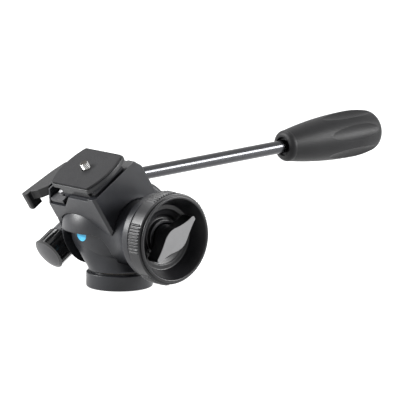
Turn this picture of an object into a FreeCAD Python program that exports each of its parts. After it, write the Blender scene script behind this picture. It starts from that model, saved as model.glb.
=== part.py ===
import FreeCAD, Part
import math
import os

# Three way pan tilt head with a fluid-drag cup, a side tilting platform and a quick release plate.
# Lengths are in millimetres. The origin is the centre of the base's underside and +Z is up.
# +X runs along the tilt axis towards the drag cup, -Y is the lens side and +Y the handle side.
# Everything that tilts is drawn level, about the tilt axis, and is then turned to the resting tilt.

V = FreeCAD.Vector
X_DIR = V(1, 0, 0)
Y_DIR = V(0, 1, 0)
Z_DIR = V(0, 0, 1)

# Fits between pieces
RUN_GAP = 0.05
SEAT_GAP = 0.02
DISC_GAP = 0.1
FACE_GAP = 0.3
SHELL_GAP = 0.5

# Base disc and its tripod socket
BASE_R = 25.0
BASE_H = 11.3
BASE_ROUND = 1.2
BASE_LIP = 0.6
BOSS_R = 21.0
BOSS_H = 1.0
SOCKET_THREAD_R = 4.76
SOCKET_OUTER_R = 7.5
SOCKET_FLANGE_R = 9.5
SOCKET_FLANGE_H = 2.0
SOCKET_DEPTH = 8.5
BASE_SCREW_R = 1.5
BASE_SCREW_HEAD_R = 2.9
BASE_SCREW_HEAD_H = 1.7
BASE_SCREW_PCD_R = 14.0
BASE_SCREW_COUNT = 3
SCREW_RECESS = 0.4

# Pan spindle and what it carries
SPINDLE_R = 6.0
SPINDLE_FLANGE_R = 17.0
SPINDLE_FLANGE_H = 3.0
PAN_WASHER_R = 20.0
PAN_WASHER_H = 0.9
PAN_BUSH_WALL = 3.0
PAN_BUSH_FLANGE = 1.6
PAN_BUSH_TOP = 25.0
PAN_BUSH_FLANGE_H = 1.0
SPRING_WASHER_H = 1.4
PAN_NUT_FLATS = 18.0
PAN_NUT_H = 5.0
SPINDLE_ABOVE_NUT = 1.5
WELL_R = 11.5

# Pan housing, from its neck up to the knuckle that the yoke tilts on
TILT_Z = 44.2
NECK_R = 23.4
NECK_BOTTOM = 13.3
NECK_TOP = 17.2
SKIRT_RINGS = ((14.3, 0.0, 23.4), (20.0, -3.6, 24.6), (26.0, -6.5, 26.2), (32.0, -6.5, 28.4))
KNUCKLE_LEFT = -27.4
SKIRT_LEFT = -26.6
KNUCKLE_RIGHT = 15.5
KNUCKLE_BELLY_X = -6.4
KNUCKLE_BELLY_R = 30.8
KNUCKLE_CURVE_R = 41.8
KNUCKLE_EDGE_R = 3.5
AXLE_BORE_R = 6.0
MARKER_R = 5.9
MARKER_X = -8.0
MARKER_DOWN_DEG = 4.2
MARKER_DEPTH = 2.0
MARKER_RECESS = 0.35

# Pan lock at the back of the housing
LOCK_Z = 19.0
LOCK_BOSS_R = 5.0
LOCK_BOSS_END = 27.2
LOCK_STEM_R = 2.5
LOCK_SHOE_R = 3.2
LOCK_SHOE_LENGTH = 6.0
LOCK_KNOB_R = 7.0
LOCK_KNOB_LENGTH = 11.0
LOCK_KNOB_FLUTES = 12

# Yoke: a round shell about the tilt axis, a waist, and the barrel that carries the cup
REST_TILT_DEG = 33.0
SHELL_X = -11.0
SHELL_R = 36.0
SHELL_WALL = 3.0
WAIST_R = 25.0
WAIST_CURVE_R = 25.0
BARREL_R = 31.6
BARREL_END = 47.0
BARREL_BORE_R = 21.0
WINDOW_LEFT = -28.5
WINDOW_RIGHT = 16.0
WINDOW_SILL = -1.5
WINDOW_CORNER_RIGHT = 12.0
WINDOW_CORNER_LEFT = 4.0
WINDOW_BACK = -3.7
WEB_THICKNESS = 4.0
DRUM_R = 38.0
DRUM_LEFT = -24.0
DRUM_RIGHT = 20.0
DRUM_TOP = 18.0
DRUM_ROUND = 4.0

# Tilt axle, hub, bushes and the drag stack
AXLE_R = 4.0
AXLE_TIP_R = 3.0
AXLE_TIP_LENGTH = 7.0
AXLE_END = 57.0
HUB_R = 11.5
HUB_END = 30.0
HUB_BUSH_WALL = 2.0
AXLE_BUSH_LENGTH = 8.0
DISC_COUNT = 3
DISC_H = 1.1
DISC_OUTER_R = 19.0
PLATE_INNER_GAP = 0.7
PRESSURE_RING_H = 2.0
DRAG_SPRING_H = 2.2

# Drag cup on the tilt axis
CUP_BAND_R = 34.0
CUP_BAND_START = 50.0
CUP_BAND_END = 62.4
CUP_RIM_X = 64.7
CUP_LIP_R = 32.3
CUP_MOUTH_R = 30.2
CUP_FLOOR_X = 50.0
CUP_FLOOR_R = 24.5
CUP_STEP_R = 20.0
CUP_GROOVE_R = 15.5
CUP_GROOVE_DEPTH = 2.0
CUP_HUB_R = 13.5
CUP_HUB_RISE = 1.2
CUP_BORE_R = 10.4
CUP_NOSE_START = 37.0
CUP_NOSE_WALL = 6.0
RIB_PADS = 5
RIBS_PER_PAD = 10
RIB_PITCH_DEG = 3.9
FIRST_PAD_DEG = 174.5
RIB_HEIGHT = 0.8

# Wing key inside the cup
KEY_FACE_X = 65.6
KEY_LENGTH = 46.0
KEY_WIDTH = 17.5
KEY_TIP_WIDTH = 4.2
KEY_BLADE_DEPTH = 11.5
KEY_HUB_R = 9.6
KEY_HUB_START = 47.6
KEY_ANGLE_DEG = 40.0
KEY_INSERT_R = 6.5

# Side tilt hinge on the left, and its lock knob
HINGE_X = -42.0
HINGE_Z = 0.0
HINGE_R = 11.5
HINGE_BOLT_R = 4.0
HINGE_BUSH_R = 5.5
EAR_START = 16.0
EAR_END = 24.0
EAR_WEB_END = 21.4
EAR_WEB_LEFT = -39.0
EAR_WEB_RIGHT = -30.5
HINGE_WASHER_R = 8.0
HINGE_WASHER_H = 1.0
BOLT_HEAD_R = 6.6
BOLT_HEAD_H = 3.0
BOLT_SOCKET_R = 2.2
BOLT_SOCKET_DEPTH = 1.8
SIDE_KNOB_R = 12.6
SIDE_KNOB_LENGTH = 17.0
SIDE_KNOB_DOME = 1.4
SIDE_KNOB_FLUTES = 18
KNOB_CROWN = 4.0
FLUTE_DEPTH = 0.9

# Platform block over the shell
BLOCK_LEFT = -37.0
BLOCK_RIGHT = 24.0
BLOCK_FRONT = -21.7
BLOCK_BACK = 28.8
BLOCK_TOP = SHELL_R + 12.0
BLOCK_BOTTOM = 13.3
BLOCK_LEFT_BOTTOM = SHELL_R - 14.0
BACK_WALL_BOTTOM = SHELL_R - 13.5
BACK_CHAMFER_Y = 24.9
BACK_CHAMFER_Z = BLOCK_TOP - 7.3
FRONT_RIDGE = 2.0
LEDGE_TOP = SHELL_R + 1.6
LEDGE_RIGHT = -18.0
RECESS_FLOOR = SHELL_R - 1.0
RECESS_LEFT = -35.2
RECESS_BACK = -15.0
FIN_BACK = -3.0
FIN_TOP = BLOCK_TOP - 3.0
FIN_LEAN_Y = -16.1
RECESS_SLOPE_X = -7.7
RECESS_SLOPE_Z = BLOCK_TOP - 2.6
SEAT_LEFT = -22.0
HOLLOW_TOP = SHELL_R - 3.0
PLATFORM_WALL = 3.5

# Quick release plate, its seat and its lever
PLATE_HALF_Y = 20.8
PLATE_FLAT_HALF_X = 21.0
PLATE_BULGE_X = 26.3
PLATE_CORNER_R = 3.0
FLANGE_BOTTOM = BLOCK_TOP + 5.0
FLANGE_TOP = FLANGE_BOTTOM + 3.5
PAD_TOP = FLANGE_TOP + 1.5
PAD_INSET = 1.0
DOVETAIL_TOP_HALF = 13.0
DOVETAIL_BOTTOM_HALF = 16.0
DOVETAIL_HALF_Y = 18.0
SEAT_FLOOR = BLOCK_TOP - 2.3
LINER_TOP = SEAT_FLOOR + 0.8
LINER_HALF_X = 13.0
LINER_HALF_Y = 15.0
SEAT_SCREW_R = 1.25
SEAT_SCREW_HEAD_R = 2.3
SEAT_SCREW_LENGTH = 6.0
SEAT_SCREW_X = 9.0
SEAT_SCREW_Y = 11.0
DOVETAIL_BOTTOM = LINER_TOP
RAIL_TOP = FLANGE_BOTTOM - 0.6
RAIL_HALF_Y = 16.0
RAIL_WIDTH = 4.6
CAMERA_SCREW_R = 3.175
CAMERA_SCREW_RISE = 5.0
CAMERA_SCREW_CHAMFER = 0.5
CAMERA_SCREW_NECK_R = 2.7
CAMERA_SCREW_HEAD_R = 7.0
CAMERA_SCREW_HEAD_H = 2.4
SCREW_HEAD_TOP = BLOCK_TOP + 1.8
CAM_X = -26.0
CAM_Y = 12.0
CAM_R = 9.0
CAM_THROW = 0.5
CAM_CLEAR_R = 10.2
LEVER_BOTTOM = LEDGE_TOP + 0.4
LEVER_TOP = LEVER_BOTTOM + 7.6
LEVER_TAB_BOTTOM = LEVER_BOTTOM - 6.6
TAB_LEFT = -57.6
TAB_RIGHT = -50.9
TAB_FRONT = -27.9
TAB_BACK = -18.0
TAB_REACH = 4.9
LEVER_INSIDE = ((-29.0, 3.8), (-37.6, 1.0), (-38.4, -14.0), (-44.5, -20.4))
LEVER_OUTSIDE = ((-54.9, -16.0), (-50.4, 2.6), (-46.6, 12.4), (-41.0, 17.2), (-28.0, 20.6))
PIVOT_R = 2.0
PIVOT_HEAD_R = 3.6
PIVOT_HEAD_H = 1.4
PIVOT_BOTTOM = LEDGE_TOP - 4.0

# Safety catch in the front recess; it slides to the right to free the lever
SLIDER_LEFT = -33.5
SLIDER_RIGHT = -19.3
SLIDER_PLATE_RIGHT = -25.2
SLIDER_FRONT = -20.5
SLIDER_BACK = -8.0
SLIDER_BOTTOM = LEDGE_TOP - 0.8
SLIDER_TOP = LEDGE_TOP + 2.0
SLIDER_TRAVEL = 2.5
SLIDER_SCREW_X = -28.5
SLIDER_SCREW_Y = -11.5
SLIDER_SCREW_R = 1.3
SLIDER_SCREW_HEAD_R = 2.5
SLIDER_SCREW_HEAD_H = 1.1
SLIDER_SCREW_LENGTH = 4.0

# Handle rod and grip; the rod's line is given level, by one point and its droop
ROD_R = 5.0
ROD_WALL = 1.3
ROD_Y = 36.5
ROD_Z = 21.7
ROD_DROOP_DEG = 31.0
ROD_SPIGOT_R = 3.8
ROD_SPIGOT_LENGTH = 5.5
ROD_BOSS_R = 7.4
GRIP_START = 146.0
GRIP_LENGTH = 96.0
GRIP_NECK_R = 12.2
GRIP_BELLY_R = 18.2
GRIP_END_R = 16.4
GRIP_SOCKET = 60.0
GRIP_WALL = 4.0
GRIP_MOUTH_R = 7.6
GRIP_MOUTH_DEPTH = 3.0
GRIP_FLUTES = 6
GRIP_FLUTE_R = 11.5
GRIP_FLUTE_DEPTH = 2.7
FLUTE_START = 0.4
FLUTE_MIDDLE = 0.72
GRIP_DOME = 9.0

REACH = 200.0


def cylinder(radius, start, end, direction=Z_DIR, centre=V(0, 0, 0)):
    """A cylinder along a direction, from one distance to another, about a line through centre."""
    return Part.makeCylinder(radius, end - start, centre + direction * start, direction)


def tube(outer, inner, start, end, direction=Z_DIR, centre=V(0, 0, 0)):
    return cylinder(outer, start, end, direction, centre).cut(
        cylinder(inner, start - 1, end + 1, direction, centre))


def box(low, high):
    return Part.makeBox(high[0] - low[0], high[1] - low[1], high[2] - low[2], V(*low))


def fuse_all(shapes):
    whole = shapes[0]
    for shape in shapes[1:]:
        whole = whole.fuse(shape)
    return whole.removeSplitter()


def prism_x(points, start, end):
    """Extrude (y, z) points along X."""
    wire = Part.makePolygon([V(start, y, z) for y, z in points + points[:1]])
    return Part.Face(wire).extrude(V(end - start, 0, 0))


def prism_y(points, start, end):
    """Extrude (x, z) points along Y."""
    wire = Part.makePolygon([V(x, start, z) for x, z in points + points[:1]])
    return Part.Face(wire).extrude(V(0, end - start, 0))


def prism_z(points, start, end):
    """Extrude (x, y) points along Z."""
    wire = Part.makePolygon([V(x, y, start) for x, y in points + points[:1]])
    return Part.Face(wire).extrude(V(0, 0, end - start))


def revolve_about_x(edges):
    """Turn a closed outline of edges in the XY plane about the X axis."""
    face = Part.Face(Part.Wire(edges))
    return face.revolve(V(0, 0, 0), X_DIR, 360)


def line(start, end):
    return Part.LineSegment(V(start[0], start[1], 0), V(end[0], end[1], 0)).toShape()


def arc(start, middle, end):
    return Part.Arc(V(start[0], start[1], 0), V(middle[0], middle[1], 0), V(end[0], end[1], 0)).toShape()


def polygon_about_x(points):
    """Turn (x, radius) points about the X axis."""
    edges = [line(a, b) for a, b in zip(points, points[1:] + points[:1])]
    return revolve_about_x(edges)


def along(shape, direction, centre):
    """Move a shape drawn about the X axis so that X runs along a direction, through centre."""
    turned = shape.copy()
    turned.Placement = FreeCAD.Placement(centre, FreeCAD.Rotation(X_DIR, direction))
    return turned


def tilted(shape):
    """Place a shape drawn level about the tilt axis at the resting tilt."""
    move = FreeCAD.Placement(V(0, 0, TILT_Z), FreeCAD.Rotation(X_DIR, REST_TILT_DEG))
    placed = shape.copy()
    placed.Placement = move.multiply(shape.Placement)
    return placed


def untilted(shape):
    """Bring a shape drawn in the row's frame into the level frame of what tilts."""
    move = FreeCAD.Placement(V(0, 0, TILT_Z), FreeCAD.Rotation(X_DIR, REST_TILT_DEG)).inverse()
    placed = shape.copy()
    placed.Placement = move.multiply(shape.Placement)
    return placed


def round_edges(shape, radius, chosen):
    edges = [edge for edge in shape.Edges if chosen(edge)]
    return shape.makeFillet(radius, edges)


def circle_at(edge, axis, place, radius=None):
    """True for a full circle or arc square to an axis, at a place along it."""
    if not isinstance(edge.Curve, Part.Circle):
        return False
    if abs(abs(edge.Curve.Axis[axis]) - 1) > 0.001 or abs(edge.Curve.Center[axis] - place) > 0.01:
        return False
    return radius is None or abs(edge.Curve.Radius - radius) < 0.01


def fluted_bar(radius, depth, flutes, start, end):
    """A bar along X whose round section has shallow round flutes."""
    pitch = 2 * math.pi / flutes
    land = 0.36
    edges = []
    for index in range(flutes):
        angle = index * pitch
        stops = [angle - pitch * land, angle, angle + pitch * land, angle + pitch / 2, angle + pitch * (1 - land)]
        radii = [radius, radius, radius, radius - depth, radius]
        points = [V(start, r * math.cos(a), r * math.sin(a)) for a, r in zip(stops, radii)]
        edges.append(Part.Arc(points[0], points[1], points[2]).toShape())
        edges.append(Part.Arc(points[2], points[3], points[4]).toShape())
    return Part.Face(Part.Wire(edges)).extrude(V(end - start, 0, 0))


def hex_nut(flats, bore, start, end):
    corner = flats / math.sqrt(3)
    points = [(corner * math.cos(math.radians(60 * i)), corner * math.sin(math.radians(60 * i)))
              for i in range(6)]
    return prism_z(points, start, end).cut(cylinder(bore, start - 1, end + 1))


def screw(radius, head_radius, head_height, length):
    """A countersunk screw along +X with its head's face at X = 0 and a cross slot."""
    body = polygon_about_x([(0, 0), (0, head_radius), (head_height, radius), (length, radius), (length, 0)])
    slot = head_radius * 0.6
    for turn in (0, 90):
        cut = box((-1, -slot, -0.35), (head_height * 0.55, slot, 0.35))
        body = body.cut(cut.rotate(V(0, 0, 0), X_DIR, turn))
    return body


# Heights that follow from the base and the spindle
BOSS_TOP = BASE_H + BOSS_H
SPINDLE_BOTTOM = BOSS_TOP - SPINDLE_FLANGE_H
WASHER_TOP = BOSS_TOP + PAN_WASHER_H
PAN_BUSH_R = SPINDLE_R + PAN_BUSH_WALL
SPRING_WASHER_BOTTOM = PAN_BUSH_TOP + PAN_BUSH_FLANGE_H + DISC_GAP
PAN_NUT_BOTTOM = SPRING_WASHER_BOTTOM + SPRING_WASHER_H + SEAT_GAP
SPINDLE_TOP = PAN_NUT_BOTTOM + PAN_NUT_H + SPINDLE_ABOVE_NUT


def base_screw_places():
    step = 360 / BASE_SCREW_COUNT
    for index in range(BASE_SCREW_COUNT):
        angle = math.radians(90 + index * step)
        yield V(BASE_SCREW_PCD_R * math.cos(angle), BASE_SCREW_PCD_R * math.sin(angle), 0)


def base_disc():
    disc = cylinder(BASE_R, 0, BASE_H)
    disc = round_edges(disc, BASE_ROUND, lambda e: circle_at(e, 2, 0))
    disc = round_edges(disc, BASE_LIP, lambda e: circle_at(e, 2, BASE_H))
    disc = disc.fuse(cylinder(BOSS_R, BASE_H, BOSS_TOP)).removeSplitter()
    disc = disc.cut(cylinder(SPINDLE_FLANGE_R + SEAT_GAP, SPINDLE_BOTTOM, BOSS_TOP + 1))
    disc = disc.cut(cylinder(SOCKET_OUTER_R + SEAT_GAP, -1, SPINDLE_BOTTOM + 1))
    disc = disc.cut(cylinder(SOCKET_FLANGE_R + SEAT_GAP, -1, SOCKET_FLANGE_H + SEAT_GAP))
    sink = BASE_SCREW_HEAD_R + SEAT_GAP
    for place in base_screw_places():
        disc = disc.cut(cylinder(BASE_SCREW_R + SEAT_GAP, -1, SPINDLE_BOTTOM + 1, centre=place))
        disc = disc.cut(Part.makeCone(sink, BASE_SCREW_R + SEAT_GAP, BASE_SCREW_HEAD_H,
                                      place + V(0, 0, SCREW_RECESS), Z_DIR))
        disc = disc.cut(cylinder(sink, -1, SCREW_RECESS, centre=place))
    return disc


def tripod_socket():
    body = cylinder(SOCKET_OUTER_R, 0, SOCKET_DEPTH).fuse(cylinder(SOCKET_FLANGE_R, 0, SOCKET_FLANGE_H))
    return body.removeSplitter().cut(cylinder(SOCKET_THREAD_R, -1, SOCKET_DEPTH + 1))


def base_screws():
    length = SPINDLE_BOTTOM + SPINDLE_FLANGE_H / 2
    one = screw(BASE_SCREW_R, BASE_SCREW_HEAD_R, BASE_SCREW_HEAD_H, length - SCREW_RECESS)
    return Part.Compound([along(one, Z_DIR, place + V(0, 0, SCREW_RECESS)) for place in base_screw_places()])


def pan_spindle():
    body = cylinder(SPINDLE_FLANGE_R, SPINDLE_BOTTOM, BOSS_TOP).fuse(cylinder(SPINDLE_R, BOSS_TOP, SPINDLE_TOP))
    body = body.removeSplitter()
    for place in base_screw_places():
        body = body.cut(cylinder(BASE_SCREW_R + SEAT_GAP, SPINDLE_BOTTOM - 1,
                                 SPINDLE_BOTTOM + SPINDLE_FLANGE_H / 2 + FACE_GAP, centre=place))
    return body


def pan_washer():
    return tube(PAN_WASHER_R, PAN_BUSH_R + FACE_GAP, BOSS_TOP, WASHER_TOP)


def pan_bush():
    body = cylinder(PAN_BUSH_R, NECK_BOTTOM, PAN_BUSH_TOP)
    flange = cylinder(PAN_BUSH_R + PAN_BUSH_FLANGE, PAN_BUSH_TOP, PAN_BUSH_TOP + PAN_BUSH_FLANGE_H)
    body = body.fuse(flange).removeSplitter()
    body = body.cut(cylinder(SPINDLE_R + RUN_GAP, 0, REACH))
    return body.cut(cylinder(LOCK_SHOE_R + RUN_GAP, 0, PAN_BUSH_R + 1, Y_DIR, V(0, 0, LOCK_Z)))


def pan_spring_washer():
    dish = SPRING_WASHER_H * 0.35
    outer = PAN_BUSH_R + PAN_BUSH_FLANGE
    inner = SPINDLE_R + RUN_GAP
    low = SPRING_WASHER_BOTTOM
    thick = SPRING_WASHER_H - dish
    points = [(low, outer), (low + thick, outer), (low + thick + dish, inner), (low + dish, inner)]
    return along(polygon_about_x(points), Z_DIR, V(0, 0, 0))


def pan_nut():
    return hex_nut(PAN_NUT_FLATS, SPINDLE_R + SEAT_GAP, PAN_NUT_BOTTOM, PAN_NUT_BOTTOM + PAN_NUT_H)


# The knuckle's outline about the tilt axis is one shallow arc between two flat ends
KNUCKLE_CURVE_Y = KNUCKLE_BELLY_R - KNUCKLE_CURVE_R


def knuckle_radius(x, gap=0.0):
    across = x - KNUCKLE_BELLY_X
    return KNUCKLE_CURVE_Y + math.sqrt((KNUCKLE_CURVE_R + gap) ** 2 - across ** 2)


def knuckle_solid(left, right, gap=0.0):
    """The knuckle's round form between two places, grown outwards by a gap."""
    middle = (left + right) / 2
    top_left = (left, knuckle_radius(left, gap))
    top_right = (right, knuckle_radius(right, gap))
    top = arc(top_left, (middle, knuckle_radius(middle, gap)), top_right)
    return revolve_about_x([line((left, 0), top_left), top, line(top_right, (right, 0)), line((right, 0), (left, 0))])


def skirt_solid():
    """The bowl that widens from the round neck up to the knuckle, given as rings of height, centre x and radius."""
    rings = []
    for height, centre_x, radius in SKIRT_RINGS:
        rings.append(Part.Wire(Part.Circle(V(centre_x, 0, height), Z_DIR, radius).toShape()))
    return Part.makeLoft(rings, True, False)


def marker_direction():
    down = math.radians(MARKER_DOWN_DEG)
    return V(0, -math.cos(down), -math.sin(down))


def marker_seat():
    """Centre of the marker's pocket on the knuckle's front, at the pocket's floor."""
    reach = knuckle_radius(MARKER_X) - MARKER_DEPTH
    return V(MARKER_X, 0, TILT_Z) + marker_direction() * reach


def pan_housing():
    knuckle = knuckle_solid(KNUCKLE_LEFT, KNUCKLE_RIGHT)
    knuckle = round_edges(knuckle, KNUCKLE_EDGE_R, lambda e: circle_at(e, 0, KNUCKLE_LEFT))
    knuckle.translate(V(0, 0, TILT_Z))
    skirt = skirt_solid()
    ring_room = yoke_envelope(SHELL_GAP).common(box((KNUCKLE_RIGHT, -REACH, -REACH), (REACH, REACH, REACH)))
    ring_room.translate(V(0, 0, TILT_Z))
    skirt = skirt.cut(ring_room)
    skirt = skirt.cut(box((-REACH, -REACH, NECK_TOP), (SKIRT_LEFT, REACH, REACH)))
    neck = cylinder(NECK_R, NECK_BOTTOM, SKIRT_RINGS[0][0])
    boss = cylinder(LOCK_BOSS_R, PAN_BUSH_R + 3, LOCK_BOSS_END, Y_DIR, V(0, 0, LOCK_Z))
    body = fuse_all([knuckle, skirt, neck, boss])
    body = body.cut(cylinder(PAN_BUSH_R + SEAT_GAP, 0, PAN_BUSH_TOP))
    body = body.cut(cylinder(WELL_R, PAN_BUSH_TOP, REACH))
    body = body.cut(cylinder(AXLE_BORE_R, -REACH, REACH, X_DIR, V(0, 0, TILT_Z)))
    body = body.cut(cylinder(LOCK_STEM_R + RUN_GAP, 0, REACH, Y_DIR, V(0, 0, LOCK_Z)))
    body = body.cut(cylinder(LOCK_SHOE_R + RUN_GAP, 0, PAN_BUSH_R + LOCK_SHOE_LENGTH, Y_DIR, V(0, 0, LOCK_Z)))
    pocket = Part.makeCylinder(MARKER_R + SEAT_GAP, MARKER_DEPTH + 5, marker_seat(), marker_direction())
    return body.cut(pocket)


def blue_marker():
    thick = MARKER_DEPTH - MARKER_RECESS - 0.3
    disc = Part.makeCylinder(MARKER_R, thick, marker_seat(), marker_direction())
    return disc.makeFillet(0.4, [e for e in disc.Edges if isinstance(e.Curve, Part.Circle)
                                 and e.Curve.Center.distanceToPoint(marker_seat()) > thick / 2])


def brake_shoe():
    start = SPINDLE_R + RUN_GAP
    return cylinder(LOCK_SHOE_R, start, start + LOCK_SHOE_LENGTH, Y_DIR, V(0, 0, LOCK_Z)).cut(
        cylinder(SPINDLE_R + RUN_GAP, 0, REACH))


def pan_lock_knob():
    start = LOCK_BOSS_END + FACE_GAP
    bar = fluted_bar(LOCK_KNOB_R, FLUTE_DEPTH * 0.7, LOCK_KNOB_FLUTES, start, start + LOCK_KNOB_LENGTH)
    bound = cylinder(LOCK_KNOB_R + 1, start, start + LOCK_KNOB_LENGTH, X_DIR)
    bound = round_edges(bound, 1.6, lambda e: circle_at(e, 0, start + LOCK_KNOB_LENGTH))
    bar = bar.common(bound)
    bar = bar.cut(cylinder(LOCK_STEM_R + SEAT_GAP, 0, start + LOCK_KNOB_LENGTH * 0.6, X_DIR))
    return along(bar, Y_DIR, V(0, 0, LOCK_Z))


def pan_lock_screw():
    start = SPINDLE_R + LOCK_SHOE_LENGTH + FACE_GAP
    end = LOCK_BOSS_END + FACE_GAP + LOCK_KNOB_LENGTH * 0.6 - SEAT_GAP
    return cylinder(LOCK_STEM_R, start, end, Y_DIR, V(0, 0, LOCK_Z))


def yoke_envelope(gap=0.0):
    """The yoke's outside about the tilt axis: a ball end, a hollow waist and the barrel."""
    ball = SHELL_R + gap
    waist = WAIST_CURVE_R - gap
    waist_y = WAIST_R + WAIST_CURVE_R
    waist_x = SHELL_X + math.sqrt((SHELL_R + WAIST_CURVE_R) ** 2 - waist_y ** 2)
    span = SHELL_R + WAIST_CURVE_R
    join = (SHELL_X + ball * (waist_x - SHELL_X) / span, ball * waist_y / span)
    barrel = BARREL_R + gap
    flare = (waist_x + math.sqrt(waist ** 2 - (waist_y - barrel) ** 2), barrel)
    half = math.radians(45)
    ball_middle = (SHELL_X - ball * math.cos(half), ball * math.sin(half))
    edges = [
        arc((SHELL_X - ball, 0), ball_middle, (SHELL_X, ball)),
        arc((SHELL_X, ball), ball_point(join, ball), join),
        arc(join, (waist_x, waist_y - waist), flare),
        line(flare, (BARREL_END, barrel)),
        line((BARREL_END, barrel), (BARREL_END, 0)),
        line((BARREL_END, 0), (SHELL_X - ball, 0)),
    ]
    return revolve_about_x(edges)


def ball_point(join, ball):
    """A point half way round from the ball's top to where the waist begins."""
    angle = (math.atan2(join[1], join[0] - SHELL_X) + math.pi / 2) / 2
    return (SHELL_X + ball * math.cos(angle), ball * math.sin(angle))


def shell_cavity():
    """The hollow that the knuckle turns in."""
    ball = Part.makeSphere(SHELL_R - SHELL_WALL, V(SHELL_X, 0, 0))
    slab = box((WINDOW_LEFT, -REACH, -REACH), (WINDOW_RIGHT, REACH, REACH))
    return ball.common(slab).fuse(knuckle_solid(WINDOW_LEFT, WINDOW_RIGHT, SHELL_GAP)).removeSplitter()


def window_cutter():
    """The opening below the visor, drawn upright, with rounded upper corners."""
    low = -REACH
    left = WINDOW_LEFT
    right = WINDOW_RIGHT
    sill = WINDOW_SILL
    bend = math.cos(math.radians(45))
    r_l = WINDOW_CORNER_LEFT
    r_r = WINDOW_CORNER_RIGHT

    def at(x, z):
        return V(x, 0, z)

    edges = [
        Part.LineSegment(at(left, low), at(left, sill - r_l)).toShape(),
        Part.Arc(at(left, sill - r_l), at(left + r_l * (1 - bend), sill - r_l * (1 - bend)),
                 at(left + r_l, sill)).toShape(),
        Part.LineSegment(at(left + r_l, sill), at(right - r_r, sill)).toShape(),
        Part.Arc(at(right - r_r, sill), at(right - r_r * (1 - bend), sill - r_r * (1 - bend)),
                 at(right, sill - r_r)).toShape(),
        Part.LineSegment(at(right, sill - r_r), at(right, low)).toShape(),
        Part.LineSegment(at(right, low), at(left, low)).toShape(),
    ]
    front = Part.Face(Part.Wire(edges)).extrude(V(0, -REACH, 0))
    front.translate(V(0, 0, TILT_Z))
    lower = box((left, -REACH, -REACH), (right, REACH, WINDOW_BACK))
    return untilted(front).fuse(lower)


def rod_direction():
    droop = math.radians(ROD_DROOP_DEG)
    return V(0, math.cos(droop), -math.sin(droop))


def rod_cylinder(radius, start, end):
    """A cylinder on the handle's line; distances are from where the rod leaves its boss."""
    return cylinder(radius, start, end, rod_direction(), V(0, ROD_Y, ROD_Z))


def rear_drum():
    """The rounded back of the yoke, which carries the handle's boss."""
    behind = BLOCK_BACK + FACE_GAP
    drum = cylinder(DRUM_R, DRUM_LEFT, DRUM_RIGHT, X_DIR)
    drum = round_edges(drum, DRUM_ROUND, lambda e: circle_at(e, 0, DRUM_LEFT) or circle_at(e, 0, DRUM_RIGHT))
    upper = box((-REACH, behind, WINDOW_BACK), (REACH, REACH, DRUM_TOP))
    under = box((-REACH, 0, WINDOW_BACK), (REACH, REACH, BLOCK_BOTTOM - FACE_GAP))
    boss = rod_cylinder(ROD_BOSS_R, -ROD_SPIGOT_LENGTH * 2, 0)
    boss = boss.common(box((-REACH, behind, DRUM_TOP - ROD_BOSS_R), (REACH, REACH, REACH)))
    return fuse_all([drum.common(upper.fuse(under)), boss])


def hinge_cylinder(radius, start, end):
    return cylinder(radius, start, end, Y_DIR, V(HINGE_X, 0, HINGE_Z))


def ear_spans(gap=0.0):
    """Where the platform's two ears lie along the side tilt hinge."""
    return [(-EAR_END - gap, -EAR_START + gap), (EAR_START - gap, EAR_END + gap)]


def tilt_yoke():
    inner = EAR_START - FACE_GAP
    body = fuse_all([yoke_envelope(), rear_drum(), hinge_cylinder(HINGE_R, -inner, inner)])
    room = HINGE_R + FACE_GAP
    for low, high in ear_spans(FACE_GAP):
        body = body.cut(hinge_cylinder(room, low, high))
        body = body.cut(box((-REACH, low, HINGE_Z), (HINGE_X + room, high, REACH)))
    body = body.cut(hinge_cylinder(SIDE_KNOB_R + FACE_GAP, -REACH, -EAR_END))
    body = body.cut(hinge_cylinder(HINGE_WASHER_R + FACE_GAP, EAR_END, REACH))
    body = body.cut(shell_cavity())
    body = body.cut(window_cutter())
    body = body.cut(cylinder(BARREL_BORE_R, WINDOW_RIGHT + WEB_THICKNESS, BARREL_END + 1, X_DIR))
    body = body.cut(cylinder(HUB_R + HUB_BUSH_WALL + SEAT_GAP, WINDOW_RIGHT - 1, BARREL_END, X_DIR))
    body = body.cut(cylinder(AXLE_TIP_R + SEAT_GAP, WINDOW_LEFT - AXLE_TIP_LENGTH, WINDOW_LEFT + 1, X_DIR))
    body = body.cut(hinge_cylinder(HINGE_BOLT_R + SEAT_GAP, -REACH, REACH))
    return body.cut(rod_cylinder(ROD_SPIGOT_R + SEAT_GAP, -ROD_SPIGOT_LENGTH, 1))


def tilt_axle():
    shaft = cylinder(AXLE_R, WINDOW_LEFT + SEAT_GAP, AXLE_END, X_DIR)
    tip = cylinder(AXLE_TIP_R, WINDOW_LEFT - AXLE_TIP_LENGTH + SEAT_GAP, WINDOW_LEFT + 1, X_DIR)
    return shaft.fuse(tip).removeSplitter()


def hub_bore(shape):
    return shape.cut(cylinder(AXLE_BORE_R, -REACH, REACH, X_DIR))


def tilt_hub():
    """The sleeve fixed to the knuckle that the drag discs are keyed on."""
    body = cylinder(HUB_R, KNUCKLE_RIGHT, HUB_END, X_DIR)
    return hub_bore(body)


def web_bush():
    start = WINDOW_RIGHT + SEAT_GAP
    return tube(HUB_R + HUB_BUSH_WALL, HUB_R + RUN_GAP, start, WINDOW_RIGHT + WEB_THICKNESS, X_DIR)


def axle_bushes():
    outer = AXLE_BORE_R - SEAT_GAP
    left = tube(outer, AXLE_R + RUN_GAP, KNUCKLE_LEFT, KNUCKLE_LEFT + AXLE_BUSH_LENGTH, X_DIR)
    right = tube(outer, AXLE_R + RUN_GAP, HUB_END - AXLE_BUSH_LENGTH, HUB_END, X_DIR)
    return Part.Compound([left, right])


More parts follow.
